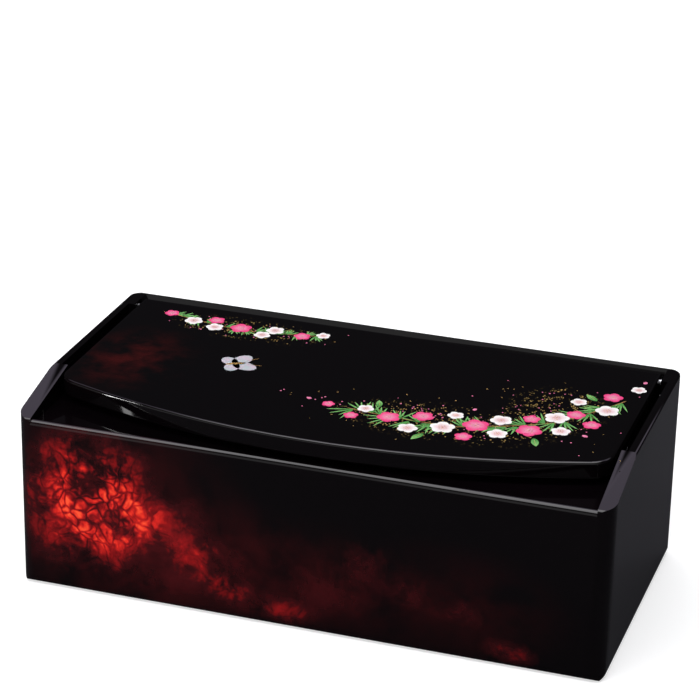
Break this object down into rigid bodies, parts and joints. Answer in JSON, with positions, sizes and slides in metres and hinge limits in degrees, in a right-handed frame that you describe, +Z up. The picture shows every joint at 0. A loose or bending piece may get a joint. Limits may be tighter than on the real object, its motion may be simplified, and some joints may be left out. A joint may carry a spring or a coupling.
{
  "type": "lacquer tissue box",
  "caption": "Rectangular black lacquer tissue box with a sloped front, a hinged mirrored lid, an inner plate with a boat-shaped slot and a lift-off bottom cover.",
  "frame": {"origin": "middle of the base, on the surface that the box stands on", "axes": "+X along the width to the right as seen from the front, +Y to the back, +Z up"},
  "size_m": [0.27, 0.136, 0.091],
  "materials": {
    "lacquer": "high-gloss black lacquer",
    "mirror": "silvered glass",
    "backing": "adhesive foam sheet",
    "pin_steel": "plain steel",
    "board": "satin black board",
    "felt": "felt"
  },
  "bodies": {
    "case_body": {"case": "lacquer", "inner_plate": "lacquer", "plate_cleat_left": "board", "plate_cleat_right": "board", "plate_cleat_front": "board", "plate_cleat_rear": "board", "hinge_pin_left": "pin_steel", "hinge_pin_right": "pin_steel"},
    "lid_body": {"lid": "lacquer", "mirror": "mirror", "mirror_backing": "backing", "lid_bumper_left": "felt", "lid_bumper_right": "felt"},
    "cover_body": {"bottom_cover": "board", "foot_front_left": "felt", "foot_front_right": "felt", "foot_rear_left": "felt", "foot_rear_right": "felt"}
  },
  "joints": [
    {"name": "lid_hinge", "type": "hinge", "parent": "case_body", "child": "lid_body", "pos_m": [0, 0.0595, 0.087], "axis": [-1, 0, 0], "range_deg": [0, 106]},
    {"name": "cover_pull", "type": "slide", "parent": "case_body", "child": "cover_body", "axis": [0, 0, -1], "range_m": [0, 0.09]}
  ]
}
